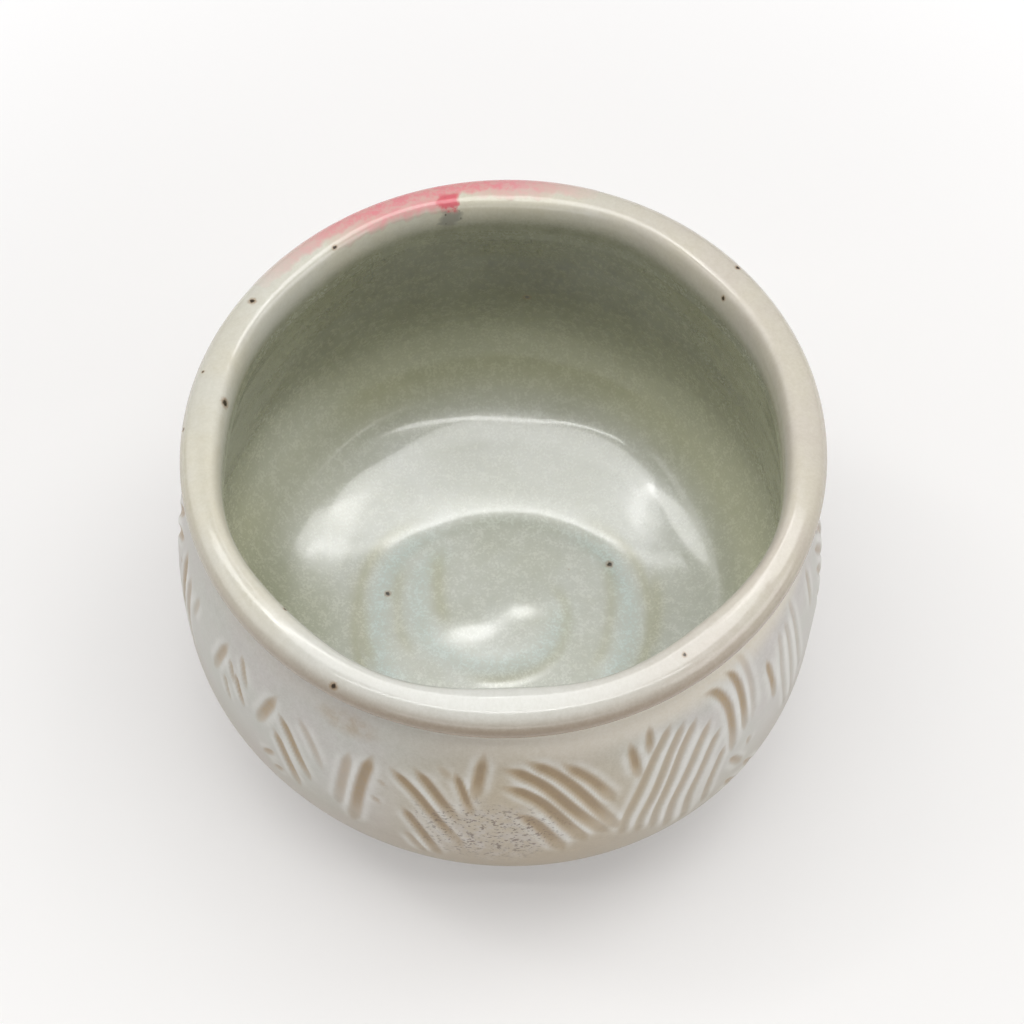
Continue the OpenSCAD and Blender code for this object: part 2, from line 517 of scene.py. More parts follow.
@dataclass(frozen=True)
class CarvedBand:
    """Band of hatching: groups of gouge strokes that lean against each other."""

    reach: float = 55.5
    shallow: float = 0.5
    broad: float = 1.1
    burr: float = 0.12
    ridge_off: float = 0.62
    ridge_wide: float = 0.7
    left: tuple[Stroke, ...] = (
        Stroke(((-68, 56), (-69, 48)), 1.6, 0.4, 0.4),
        Stroke(((-56.6, 57.4), (-58.1, 51.4), (-59.6, 45.2)), 1.9, 0.6, 0.8),
        Stroke(((-55.4, 54.4), (-53.1, 49)), 1.1, 0.5, 0.7),
        Stroke(((-52.9, 58.4), (-49.7, 51.4)), 1.2, 0.5, 0.7),
        Stroke(((-56.3, 48.6), (-54.1, 41.4)), 1.1, 0.5, 0.6),
        Stroke(((-53.5, 52.8), (-49.9, 45.2)), 1.3, 0.6, 0.9),
        Stroke(((-42.6, 57.6), (-44.6, 51.4), (-46.6, 45)), 2.2, 0.7, 0.9),
        Stroke(((-41.9, 53.9), (-38.4, 48.9), (-35.3, 41.8), (-34.2, 38)), 1.7, 0.7, 1.0),
        Stroke(((-42.5, 48.6), (-39.9, 42.6), (-36.8, 32.4)), 1.8, 0.7, 1.0),
        Stroke(((-37.8, 56.6), (-33.8, 51.4), (-31.3, 45.4)), 1.5, 0.4, 0.4),
        Stroke(((-45.9, 34.4), (-42.3, 39.4)), 1.6, 0.6, 0.8),
        Stroke(((-43.3, 32.2), (-40.3, 35)), 1.6, 0.6, 0.8),
    )
    front: tuple[Stroke, ...] = (
        Stroke(((-26.5, 55.7), (-27.3, 47.7), (-28.7, 35.2)), 2.0, 0.6, 0.6),
        Stroke(((-22.1, 57.3), (-23.7, 49), (-25.3, 36.1), (-26, 31)), 2.3, 0.8, 1.0),
        Stroke(((-20.9, 51.4), (-19, 49.4)), 1.6, 0.5, 0.8),
        Stroke(((-22, 45.9), (-19.9, 42.9)), 1.6, 0.5, 0.6),
        Stroke(((-19.2, 55.8), (-13.3, 49.5), (-7.6, 38.4), (-5.4, 33)), 2.0, 0.8, 1.0),
        Stroke(((-15, 57.5), (-11.1, 52.7), (-6, 43.6)), 2.0, 0.8, 1.0),
        Stroke(((-16.4, 45.9), (-13.3, 38.4), (-9.5, 28)), 1.9, 0.8, 1.0),
        Stroke(((-16.2, 36.5), (-12, 27.9)), 1.4, 0.5, 0.4),
        Stroke(((-10.6, 59.2), (-7.4, 55.6)), 3.0, 0.5, 0.8),
        Stroke(((-7.4, 58.4), (-5.6, 52.8), (-3.8, 46)), 1.5, 0.6, 1.0),
        Stroke(((-2.2, 63.4), (-3.1, 57.4), (-3.9, 51)), 2.1, 0.6, 0.9),
        Stroke(((2.7, 49.1), (7, 43.7), (11.9, 31.8)), 2.4, 0.8, 1.0),
        Stroke(((0, 55.8), (4.7, 53.6), (9.2, 48.4), (15.7, 34.6)), 2.3, 0.85, 1.0),
        Stroke(((0.1, 59.9), (4.7, 58), (10, 52.7), (19.3, 36.1)), 2.3, 0.85, 1.0),
        Stroke(((4.4, 61.6), (10.5, 57.3), (15.4, 50.1), (21.3, 36.5)), 2.2, 0.8, 0.95),
        Stroke(((10.8, 60.5), (16.3, 54.8), (20.4, 47)), 2.1, 0.7, 0.9),
        Stroke(((23.4, 61.4), (23.9, 57), (24.6, 51.4)), 1.8, 0.6, 0.9),
        Stroke(((27.6, 63), (26.6, 56.4)), 1.6, 0.5, 0.8),
        Stroke(((31.9, 61.5), (26.9, 54.2), (22.6, 41.8), (21.8, 33.2)), 1.6, 0.75, 0.62),
        Stroke(((34.4, 60.5), (29.9, 53.4), (25.5, 39.3), (24.7, 31.7)), 1.6, 0.75, 0.62),
        Stroke(((36.9, 59.7), (32.3, 53), (28.4, 40.4), (27.5, 31)), 1.6, 0.75, 0.62),
        Stroke(((39.5, 57.4), (35.2, 50.5), (31.4, 39.6), (30.4, 28.1)), 1.6, 0.75, 0.62),
        Stroke(((41.2, 53.6), (38, 48.5), (34.8, 38.5), (33.9, 27)), 1.6, 0.7, 0.62),
        Stroke(((41.7, 47.6), (39.4, 39.8), (37.8, 29.3)), 1.5, 0.7, 0.62),
    )
    right: tuple[Stroke, ...] = (
        Stroke(((38.4, 62.4), (41.4, 61.2), (43.1, 57), (43.5, 51), (43.4, 42.4)), 1.8, 0.75, 1.0),
        Stroke(((43.8, 63.6), (45.7, 61.6), (46.5, 57), (46.4, 46)), 1.6, 0.75, 1.0),
        Stroke(((47, 65), (48.8, 62.4), (49.1, 56), (48.5, 47)), 1.4, 0.5, 0.3),
        Stroke(((47.7, 42.6), (48, 38.4)), 1.2, 0.5, 0.5),
        Stroke(((43, 40.8), (47.2, 33)), 1.6, 0.6, 0.8),
        Stroke(((47.5, 32.8), (52, 25)), 1.6, 0.6, 0.8),
        Stroke(((42.8, 32), (47, 25)), 1.6, 0.6, 0.8),
        Stroke(((53.8, 58), (54.3, 53), (55, 45)), 1.4, 0.7, 1.0),
        Stroke(((58.9, 60), (57.7, 48.5), (60.5, 34)), 1.2, 0.5, 0.25),
        Stroke(((61.3, 60), (61, 46), (63, 34)), 1.2, 0.5, 0.25),
        Stroke(((64.5, 62), (63.8, 50), (65, 40)), 1.2, 0.5, 0.25),
        Stroke(((73, 60), (71, 50)), 1.4, 0.5, 0.4),
    )
    copies: tuple[tuple[float, bool, float], ...] = (
        (111.7, True, 0.6),
        (183.0, False, -0.4),
        (254.0, True, 0.3),
    )

    def strokes(self) -> list[Stroke]:
        """All strokes round the bowl, the front group repeated on the far side."""
        far = [s.turned(*copy) for copy in self.copies for s in self.front]
        return [*self.left, *self.front, *self.right, *far]

    def cut(self, shell: Turned) -> tuple[np.ndarray, np.ndarray, np.ndarray]:
        """Cuts the strokes into a shell.

        Args:
            shell: The shoulder's shell.

        Returns:
            The move of each vertex in mm, the warmth of its colour in the cut, and its place on a ridge.
        """
        heights = shell.line[:, 1]
        count = int(shell.skin.sum() and shell.row[shell.skin].max()) + 1
        run = np.concatenate([[0.0], np.cumsum(np.linalg.norm(np.diff(shell.line[:count], axis=0), axis=1))])
        deep, warm, ridge = (np.zeros(len(shell.row)) for _ in range(3))
        scale = math.radians(1.0) * self.reach
        for stroke in self.strokes():
            path = np.array(stroke.path, float)
            middle = path[:, 0].mean()
            flat = np.stack([(path[:, 0] - middle) * scale, np.interp(path[:, 1], heights[:count], run)], 1)
            curve = smooth_path(flat)
            across = aside(shell.angle, middle) * scale
            pad = stroke.width + 2.4
            low, high = curve.min(0) - pad, curve.max(0) + pad
            near = shell.skin & (across > low[0]) & (across < high[0])
            near &= (shell.along > low[1]) & (shell.along < high[1])
            if not near.any():
                continue
            gap, along, total = to_path(np.stack([across[near], shell.along[near]], 1), curve)
            left = total - along
            start = ease(0.0, stroke.width * (1.0 + min(1.0, total / 12.0)), along)
            taper = start * ease(0.0, stroke.width * 1.6, left)
            half = self.broad * stroke.width / 2 * (0.3 + 0.7 * taper)
            x = gap / half
            scoop = np.clip(1.0 - x**2, 0.0, 1.0) ** 1.4
            fade = 0.4 + 0.6 * ease(0.0, max(stroke.width * 1.5, 0.45 * total), left)
            tint = np.clip(1.2 - x**2, 0.0, 1.0) * start**0.6 * ease(0.0, 0.7 * stroke.width, left) * fade
            crest = np.exp(-(((gap - half - self.ridge_off) / self.ridge_wide) ** 2)) * min(1.0, total / 9.0)
            crest *= ease(0.0, min(4.0, 0.4 * total), along) * ease(0.0, min(5.0, 0.4 * total), left)
            deep[near] = np.maximum(deep[near], scoop * taper * stroke.depth * self.shallow)
            warm[near] = np.maximum(warm[near], tint * stroke.warmth)
            ridge[near] += 0.6 * crest
        ridge = np.clip(ridge, 0.0, 1.0) * np.clip(1.0 - 1.3 * warm, 0.0, 1.0)
        return ridge * self.burr - deep, warm, ridge


@dataclass(frozen=True)
class ThrowingMarks:
    """Finger spiral on the floor and throwing rings up the inside wall."""

    valley: float = 23.6
    rim: float = 38.0
    groove: float = 0.05
    rings: float = 0.05
    dents: float = 0.16
    swell: float = 0.35
    pitch: float = 8.5
    floor_top: float = 24.0
    ring: tuple[Point, ...] = (
        (-180, 22.2), (-170, 22.1), (-151, 22.4), (-133, 24.1), (-118, 25.3), (-90, 25.0),
        (-65, 26.6), (0, 26.5), (60, 26.8), (82, 26.8), (98, 26.6), (115, 26.4),
        (129, 25.6), (142, 24.2), (157, 23.1), (172, 22.5), (180, 22.2),
    )
    spiral: tuple[Point, ...] = (
        (11, 3.5), (11.5, -1), (9.5, -6), (5.5, -9.4), (0, -10.6), (-6.5, -10.2),
        (-12, -7.2), (-15, -2), (-15.5, 4), (-14, 10), (-9, 14.5),
    )
    humps: tuple[tuple[float, float, float, float, float], ...] = (
        (3.6, 3.1, 6.0, 3.6, 0.258),
        (-5.4, -1.9, 5.6, 3.4, 0.218),
        (-1.0, 0.5, 3.4, 3.0, 0.085),
    )
    crests: tuple[tuple[Point, ...], ...] = (
        ((-12, 14), (-11.9, 8), (-11.2, 1), (-9.5, -4)),
        ((-26.4, 9), (-26.6, 2), (-25.4, -6), (-23, -13)),
        ((28.6, 10), (29.4, 3), (28.8, -4), (27, -10)),
    )
    swirls: tuple[tuple[Point, ...], ...] = (
        ((19.6, 12), (20.8, 6), (20.8, 0), (19.4, -7.5), (16.5, -13)),
        ((9.5, 6.5), (12, 2.5), (12.6, -2.5), (11, -8), (6.5, -12.4), (0, -14.2), (-7, -13.6)),
        ((-18.6, 10), (-19.4, 3), (-18.4, -5), (-15.5, -11)),
    )

    @staticmethod
    def trail(spots: np.ndarray, points: tuple[Point, ...], spread: float) -> np.ndarray:
        """Soft band along a smooth path, fading at both ends.

        Args:
            spots: Places on the floor, in mm.
            points: Points of the path, in mm.
            spread: Half width of the band, in mm.

        Returns:
            The band, 0 to 1.
        """
        path = smooth_path(np.array(points, float), 10)
        run = np.linalg.norm(np.gradient(path, axis=0), axis=1)
        along = np.cumsum(run)
        weight = run * ease(0.0, 5.0, along) * ease(0.0, 5.0, along[-1] - along) / (spread * math.sqrt(math.pi))
        band = np.zeros(len(spots))
        for start in range(0, len(spots), 8000):
            gap = np.linalg.norm(spots[start : start + 8000, None] - path[None], axis=2)
            band[start : start + 8000] = (np.exp(-((gap / spread) ** 2)) * weight).sum(1)
        return np.clip(band, 0.0, 1.0)

    def edge(self, angle: np.ndarray) -> np.ndarray:
        """Follows the ring's line round the floor.

        Args:
            angle: Angle of each vertex, in degrees.

        Returns:
            The radius of the line there, in mm.
        """
        turns = np.arange(-180.0, 180.0)
        around = np.array(self.ring)
        soft = np.hanning(27)
        radii = np.tile(np.interp(turns, around[:, 0], around[:, 1]), 3)
        radii = np.convolve(radii, soft / soft.sum(), "same")[360:720]
        return np.interp(angle, turns, radii, period=360.0)

    def press(self, shell: Turned) -> tuple[np.ndarray, np.ndarray, np.ndarray]:
        """Presses the marks into the lining.

        Args:
            shell: The lining's shell.

        Returns:
            The move of each vertex in mm, how much glaze pools there, and how thin it is on a crest.
        """
        turn, up = np.radians(shell.angle), shell.height
        spots = np.stack([shell.radius * np.sin(turn), -shell.radius * np.cos(turn)], 1)
        move, pool, crest = (np.zeros(len(turn)) for _ in range(3))
        low = np.flatnonzero(shell.skin & (shell.radius < self.rim) & (up < self.floor_top))
        radius, edge, side = shell.radius[low], self.edge(shell.angle[low]), np.abs(np.sin(turn[low]))
        within = ease(0.0, 1.0, (radius / edge - 0.3) / 0.7)
        beyond = 1.0 - ease(0.0, 1.0, (radius - edge) / (self.rim - edge))
        bend = np.where(radius < edge, within, beyond)
        drawn = radius + (self.valley - edge) * bend
        floor = shell.line[: int(shell.row[shell.skin].max()) + 1]
        floor = floor[(floor[:, 1] < self.floor_top)][::-1]
        spiral = self.trail(spots[low], self.spiral, 2.4)
        move[low] = np.interp(drawn, floor[:, 0], floor[:, 1]) - up[low]
        for x, y, long, wide, tall in self.humps:
            far = ((spots[low, 0] - x) / long) ** 2 + ((spots[low, 1] - y) / wide) ** 2
            move[low] += tall * np.exp(-far)
        move[low] -= self.groove * spiral
        ring = np.exp(-(((drawn - self.valley + 2.2) / 2.0) ** 2)) * (0.15 + 0.85 * ease(0.45, 0.9, side))
        pool[low] = np.maximum(ring, 0.8 * spiral)
        crest[low] = np.exp(-(((drawn - self.valley - 1.8) / 1.4) ** 2)) * ease(0.5, 0.9, side)
        for path in self.crests:
            crest[low] = np.maximum(crest[low], self.trail(spots[low], path, 1.5))
        for path in self.swirls:
            swirl = self.trail(spots[low], path, 1.2)
            move[low] += self.groove * swirl
            crest[low] = np.maximum(crest[low], 0.7 * swirl)
        rings = np.sin(math.tau * (shell.along / self.pitch + shell.angle / 360.0))
        rings *= ease(34.0, 42.0, shell.radius) * (1.0 - ease(58.0, 66.0, up))
        dents = np.cos(3.0 * turn + 0.8) + 0.8 * np.cos(7.0 * turn - up * 0.09) + 0.35 * np.cos(11.0 * turn + up * 0.2)
        dents *= ease(34.0, 42.0, shell.radius) * (1.0 - ease(34.0, 60.0, up))
        swell = np.exp(-(((up - 34.0) / 5.5) ** 2)) * (shell.radius > 40.0)
        move += (self.rings * rings + self.dents * dents - self.swell * swell) * shell.skin
        return move, pool, crest


class NodeBench:
    """Lays out and wires the nodes of one tree."""

    def __init__(self, tree: bpy.types.NodeTree) -> None:
        """Keeps the tree and clears it."""
        self.tree = tree
        tree.nodes.clear()

    def add(self, kind: str, inputs: dict[str | int, object] | None = None, **settings: object) -> bpy.types.Node:
        """Adds a node.

        Args:
            kind: Type of the node.
            inputs: Values or outputs for its input sockets, by name or number.
            **settings: Properties of the node.

        Returns:
            The node.
        """
        node = self.tree.nodes.new(kind)
        for key, value in settings.items():
            setattr(node, key, value)
        for key, value in (inputs or {}).items():
            socket = node.inputs[key]
            if isinstance(value, bpy.types.NodeSocket):
                self.tree.links.new(value, socket)
            else:
                socket.default_value = value
        return node

    def math(self, operation: str, first: object, second: object = 0.0) -> bpy.types.NodeSocket:
        """Works out one number from two and returns it."""
        return self.add("ShaderNodeMath", {0: first, 1: second}, operation=operation, use_clamp=False).outputs[0]

    def times(self, first: object, second: object) -> bpy.types.NodeSocket:
        """Adds a product of two numbers and returns it."""
        return self.math("MULTIPLY", first, second)

    def gap(self, where: object, spot: object) -> bpy.types.NodeSocket:
        """Adds the distance between two places and returns it."""
        return self.add("ShaderNodeVectorMath", {0: where, 1: spot}, operation="DISTANCE").outputs["Value"]

    def stretch(self, where: object, scale: Spot) -> bpy.types.NodeSocket:
        """Adds a place that is scaled along each axis and returns it."""
        return self.add("ShaderNodeVectorMath", {0: where, 1: scale}, operation="MULTIPLY").outputs[0]

    def axes(self, where: object) -> bpy.types.NodeOutputs:
        """Splits a place into X, Y and Z."""
        return self.add("ShaderNodeSeparateXYZ", {0: where}).outputs

    def group(self, tree: bpy.types.NodeTree, inputs: dict[str, object]) -> bpy.types.NodeOutputs:
        """Places a shared group and returns what it gives."""
        return self.add("ShaderNodeGroup", inputs, node_tree=tree).outputs

    def feed(self, node: bpy.types.Node, ports: dict[str, bpy.types.NodeSocket]) -> None:
        """Wires outputs to the named inputs of a node."""
        for port, value in ports.items():
            self.tree.links.new(value, node.inputs[port])

    def step(
        self, value: object, low: float, high: float, start: float = 0.0, end: float = 1.0
    ) -> bpy.types.NodeSocket:
        """Adds a smooth step from start at low to end at high and returns its result."""
        ports = {"Value": value, "From Min": low, "From Max": high, "To Min": start, "To Max": end}
        return self.add("ShaderNodeMapRange", ports, interpolation_type="SMOOTHSTEP").outputs[0]

    def blend(self, share: object, first: object, second: object, how: str = "MIX") -> bpy.types.NodeSocket:
        """Adds a blend of two colours and returns its result."""
        ports = {0: share, 6: first, 7: second}
        return self.add("ShaderNodeMix", ports, data_type="RGBA", blend_type=how).outputs[2]

    def mark(self, name: str) -> bpy.types.NodeSocket:
        """Reads a number that the mesh carries."""
        return self.add("ShaderNodeAttribute", attribute_name=name).outputs["Fac"]

    def place(self) -> bpy.types.NodeSocket:
        """Reads where a spot was when it was thrown, in mm."""
        return self.add("ShaderNodeAttribute", attribute_name="place").outputs["Vector"]

    def noise(self, where: object, scale: float, detail: float = 3.0, rough: float = 0.55) -> bpy.types.NodeSocket:
        """Adds a noise and returns its value."""
        ports = {"Vector": where, "Scale": scale, "Detail": detail, "Roughness": rough}
        return self.add("ShaderNodeTexNoise", ports).outputs["Fac"]


class GlazeEffects:
    """Node groups that more than one finish uses."""

    def __init__(self) -> None:
        """Builds each group once."""
        self.mottle = self.build_mottle()
        self.speck = self.build_speck()
        self.pepper = self.build_pepper()

    @staticmethod
    def start(
        name: str, takes: dict[str, str], gives: dict[str, str]
    ) -> tuple[NodeBench, bpy.types.Node, bpy.types.Node]:
        """Makes an empty group with its sockets.

        Args:
            name: Name of the group.
            takes: Input names with their socket types.
            gives: Output names with their socket types.

        Returns:
            The bench, the input node and the output node.
        """
        tree = bpy.data.node_groups.new(name, "ShaderNodeTree")
        for port, kind in takes.items():
            tree.interface.new_socket(port, in_out="INPUT", socket_type=kind)
        for port, kind in gives.items():
            tree.interface.new_socket(port, in_out="OUTPUT", socket_type=kind)
        bench = NodeBench(tree)
        return bench, bench.add("NodeGroupInput"), bench.add("NodeGroupOutput")

    def build_mottle(self) -> bpy.types.NodeTree:
        """Group that gives the cloudiness, the fine grain and the peel of a melted glaze.

        Returns:
            The group.
        """
        bench, takes, gives = self.start(
            "glaze_mottle",
            {"Place": "NodeSocketVector"},
            {"Cloud": "NodeSocketFloat", "Grain": "NodeSocketFloat", "Peel": "NodeSocketFloat"},
        )
        where = takes.outputs["Place"]
        cloud = bench.step(bench.noise(where, 0.055, 4.0, 0.6), 0.32, 0.68)
        fleck = bench.step(bench.noise(where, 0.5, 4.0, 0.6), 0.2, 0.8)
        grain = bench.step(bench.noise(where, 1.9, 3.0, 0.7), 0.3, 0.7)
        grain = bench.math("ADD", bench.times(fleck, 0.5), bench.times(grain, 0.5))
        bench.feed(gives, {"Cloud": cloud, "Grain": grain, "Peel": bench.noise(where, 0.35, 2.0, 0.4)})
        return bench.tree

    def build_speck(self) -> bpy.types.NodeTree:
        """Group that gives the core and the halo of one iron speck.

        Returns:
            The group.
        """
        bench, takes, gives = self.start(
            "iron_speck",
            {"Place": "NodeSocketVector", "Centre": "NodeSocketVector", "Size": "NodeSocketFloat"},
            {"Core": "NodeSocketFloat", "Halo": "NodeSocketFloat"},
        )
        jitter = bench.noise(takes.outputs["Place"], 2.2, 1.0)
        gap = bench.gap(takes.outputs["Place"], takes.outputs["Centre"])
        ratio = bench.math("DIVIDE", gap, takes.outputs["Size"])
        ratio = bench.math("ADD", ratio, bench.times(bench.math("SUBTRACT", jitter, 0.5), 0.9))
        core, halo = bench.step(ratio, 0.55, 1.0, 1.0, 0.0), bench.step(ratio, 0.8, 1.9, 1.0, 0.0)
        bench.feed(gives, {"Core": core, "Halo": halo})
        return bench.tree

    def build_pepper(self) -> bpy.types.NodeTree:
        """Group that gives fine dark pepper scattered through a glaze.

        Returns:
            The group.
        """
        bench, takes, gives = self.start(
            "pepper",
            {"Place": "NodeSocketVector", "Scale": "NodeSocketFloat", "Share": "NodeSocketFloat"},
            {"Dots": "NodeSocketFloat"},
        )
        ports = {"Vector": takes.outputs["Place"], "Scale": takes.outputs["Scale"], "Randomness": 1.0}
        cells = bench.add("ShaderNodeTexVoronoi", ports)
        chance = bench.add("ShaderNodeSeparateColor", {0: cells.outputs["Color"]}).outputs[0]
        dot = bench.step(cells.outputs["Distance"], 0.1, 0.3, 1.0, 0.0)
        kept = bench.math("LESS_THAN", chance, takes.outputs["Share"])
        bench.feed(gives, {"Dots": bench.times(dot, kept)})
        return bench.tree


@dataclass(frozen=True)
class Speck:
    """An iron speck in the glaze, by where it was thrown."""

    centre: Spot
    size: float


@dataclass(frozen=True)
class Melt:
    """What a finish starts from: its bench, the shared groups, where each spot was thrown, and the mottle."""

    bench: NodeBench
    effects: GlazeEffects
    place: bpy.types.NodeSocket
    cloud: bpy.types.NodeSocket
    grain: bpy.types.NodeSocket
    peel: bpy.types.NodeSocket

    def grained(self, share: float, colour: object, dark: Colour, light: Colour) -> bpy.types.NodeSocket:
        """Lays the fine grain over a colour and returns the result."""
        return self.bench.blend(share, colour, self.bench.blend(self.grain, dark, light), "SOFT_LIGHT")

    def pepper(self, place: object, scale: float, share: float) -> bpy.types.NodeSocket:
        """Scatters dots over a share of the cells of that scale and returns them."""
        return self.bench.group(self.effects.pepper, {"Place": place, "Scale": scale, "Share": share})["Dots"]


@dataclass(frozen=True)
class Finish:
    """Shared ways of every finish."""

    slot: Slot
    rough: float = 0.3
    rough_span: Point = (-0.05, 0.05)
    sheen: float = 0.5
    ior: float = 1.5
    coat: float = 0.0
    coat_rough: float = 0.1
    coat_ior: float = 1.6
    bump_depth: float = 0.0001
    bump_strength: float = 0.5
    halo: Colour = shade(146, 104, 44)
    iron: Colour = shade(38, 28, 18)

    def material(self, effects: GlazeEffects) -> bpy.types.Material:
        """Builds the material.

        Args:
            effects: The shared node groups.

        Returns:
            The material.
        """
        made = bpy.data.materials.new(self.slot.value)
        made.use_nodes = True
        bench = NodeBench(made.node_tree)
        ports = {"IOR": self.ior, "Specular IOR Level": self.sheen, "Coat Weight": self.coat}
        ports |= {"Coat Roughness": self.coat_rough, "Coat IOR": self.coat_ior}
        base = bench.add("ShaderNodeBsdfPrincipled", ports)
        bench.add("ShaderNodeOutputMaterial", {"Surface": base.outputs[0]})
        place = bench.place()
        mottle = bench.group(effects.mottle, {"Place": place})
        melt = Melt(bench, effects, place, mottle["Cloud"], mottle["Grain"], mottle["Peel"])
        smooth, coarse = (self.rough + part for part in self.rough_span)
        rough = bench.step(melt.grain, 0.2, 0.8, smooth, coarse)
        ports = {"Strength": self.bump_strength, "Distance": self.bump_depth, "Height": self.relief(melt)}
        bump = bench.add("ShaderNodeBump", ports).outputs[0]
        bench.feed(base, {"Base Color": self.tint(melt), "Roughness": rough, "Normal": bump})
        return made

    def relief(self, melt: Melt) -> bpy.types.NodeSocket:
        """Height of the bump, here the peel of a melted glaze."""
        return melt.peel

    def tint(self, melt: Melt) -> bpy.types.NodeSocket:
        """Mixes the colour, in each finish in its own way."""
        raise NotImplementedError

    def specked(self, melt: Melt, colour: object, specks: tuple[Speck, ...]) -> bpy.types.NodeSocket:
        """Lays iron specks over a colour.

        Args:
            melt: What the finish starts from.
            colour: The colour under the specks.
            specks: The specks.

        Returns:
            The colour with the specks.
        """
        bench, core, halo = melt.bench, None, None
        for speck in specks:
            ports = {"Place": melt.place, "Centre": speck.centre, "Size": speck.size}
            spot = bench.group(melt.effects.speck, ports)
            core = spot["Core"] if core is None else bench.math("MAXIMUM", core, spot["Core"])
            halo = spot["Halo"] if halo is None else bench.math("MAXIMUM", halo, spot["Halo"])
        colour = bench.blend(bench.times(halo, 0.55), colour, self.halo)
        return bench.blend(bench.times(core, 0.92), colour, self.iron)


@dataclass(frozen=True)
class CeladonFinish(Finish):
    """Grey-green lining, bluish where it pools and tan where it is thin."""

    slot: Slot = Slot.CELADON
    rough: float = 0.24
    rough_span: Point = (-0.02, 0.05)
    bump_depth: float = 0.00008
    sheen: float = 0.9
    coat: float = 0.85
    # Upper inside wall, darkened as painted shade under the lip.
    top: Colour = shade(119, 118, 82)
    # Paler patch on the left inside wall: a painted reflection of a soft light.
    painted_reflection: Colour = shade(214, 215, 200)
    wall: Colour = shade(209, 209, 182)
    floor: Colour = shade(210, 212, 205)
    pool: Colour = shade(195, 212, 209)
    olive: Colour = shade(180, 182, 156)
    crest: Colour = shade(182, 180, 150)
    cloudy: Colour = shade(176, 178, 152)
    cream: Colour = shade(196, 188, 168)
    painted_reflection_spot: Spot = (-38.0, 27.0, 21.0)
    olive_spot: Spot = (-40.0, -2.0, 18.0)
    specks: tuple[Speck, ...] = (
        Speck((4.1, 51.1, 42.1), 0.6),
        Speck((20.7, 10.9, 12.5), 0.55),
        Speck((-21.2, 3.7, 12.4), 0.5),
        Speck((-2.8, 1.3, 11.8), 0.35),
        Speck((7.6, -7.0, 11.9), 0.4),
        Speck((12.9, 9.6, 12.1), 0.25),
    )

    def tint(self, melt: Melt) -> bpy.types.NodeSocket:
        """Mixes the celadon by height, darker towards the top as painted shade under the lip, by what pools and by
        what shows through.

        Args:
            melt: What the finish starts from.

        Returns:
            The colour.
        """
        bench = melt.bench
        depth = bench.axes(melt.place)["Z"]
        # Darker olive towards the top of the inside wall: painted shade under the lip.
        colour = bench.blend(bench.step(depth, 20.0, 46.0), self.wall, self.top)
        colour = bench.blend(bench.step(depth, 13.0, 24.0, 1.0, 0.0), colour, self.floor)
        colour = bench.blend(bench.times(melt.cloud, 0.3), colour, self.cloudy)
        # Paler patch on the left wall: painted reflection.
        patch = bench.step(bench.gap(melt.place, self.painted_reflection_spot), 5.0, 20.0, 0.8, 0.0)
        colour = bench.blend(patch, colour, self.painted_reflection)
        patch = bench.step(bench.gap(melt.place, self.olive_spot), 4.0, 17.0, 0.7, 0.0)
        colour = bench.blend(patch, colour, self.olive)
        pooled = bench.times(bench.mark("pool"), bench.step(melt.grain, 0.3, 0.7, 0.3, 1.0))
        colour = bench.blend(bench.times(pooled, 0.65), colour, self.pool)
        colour = bench.blend(bench.times(bench.mark("crest"), 0.6), colour, self.crest)
        colour = melt.grained(0.34, colour, shade(70, 74, 64), shade(232, 236, 230))
        colour = bench.blend(bench.mark("cream"), colour, self.cream)
        return self.specked(melt, colour, self.specks)


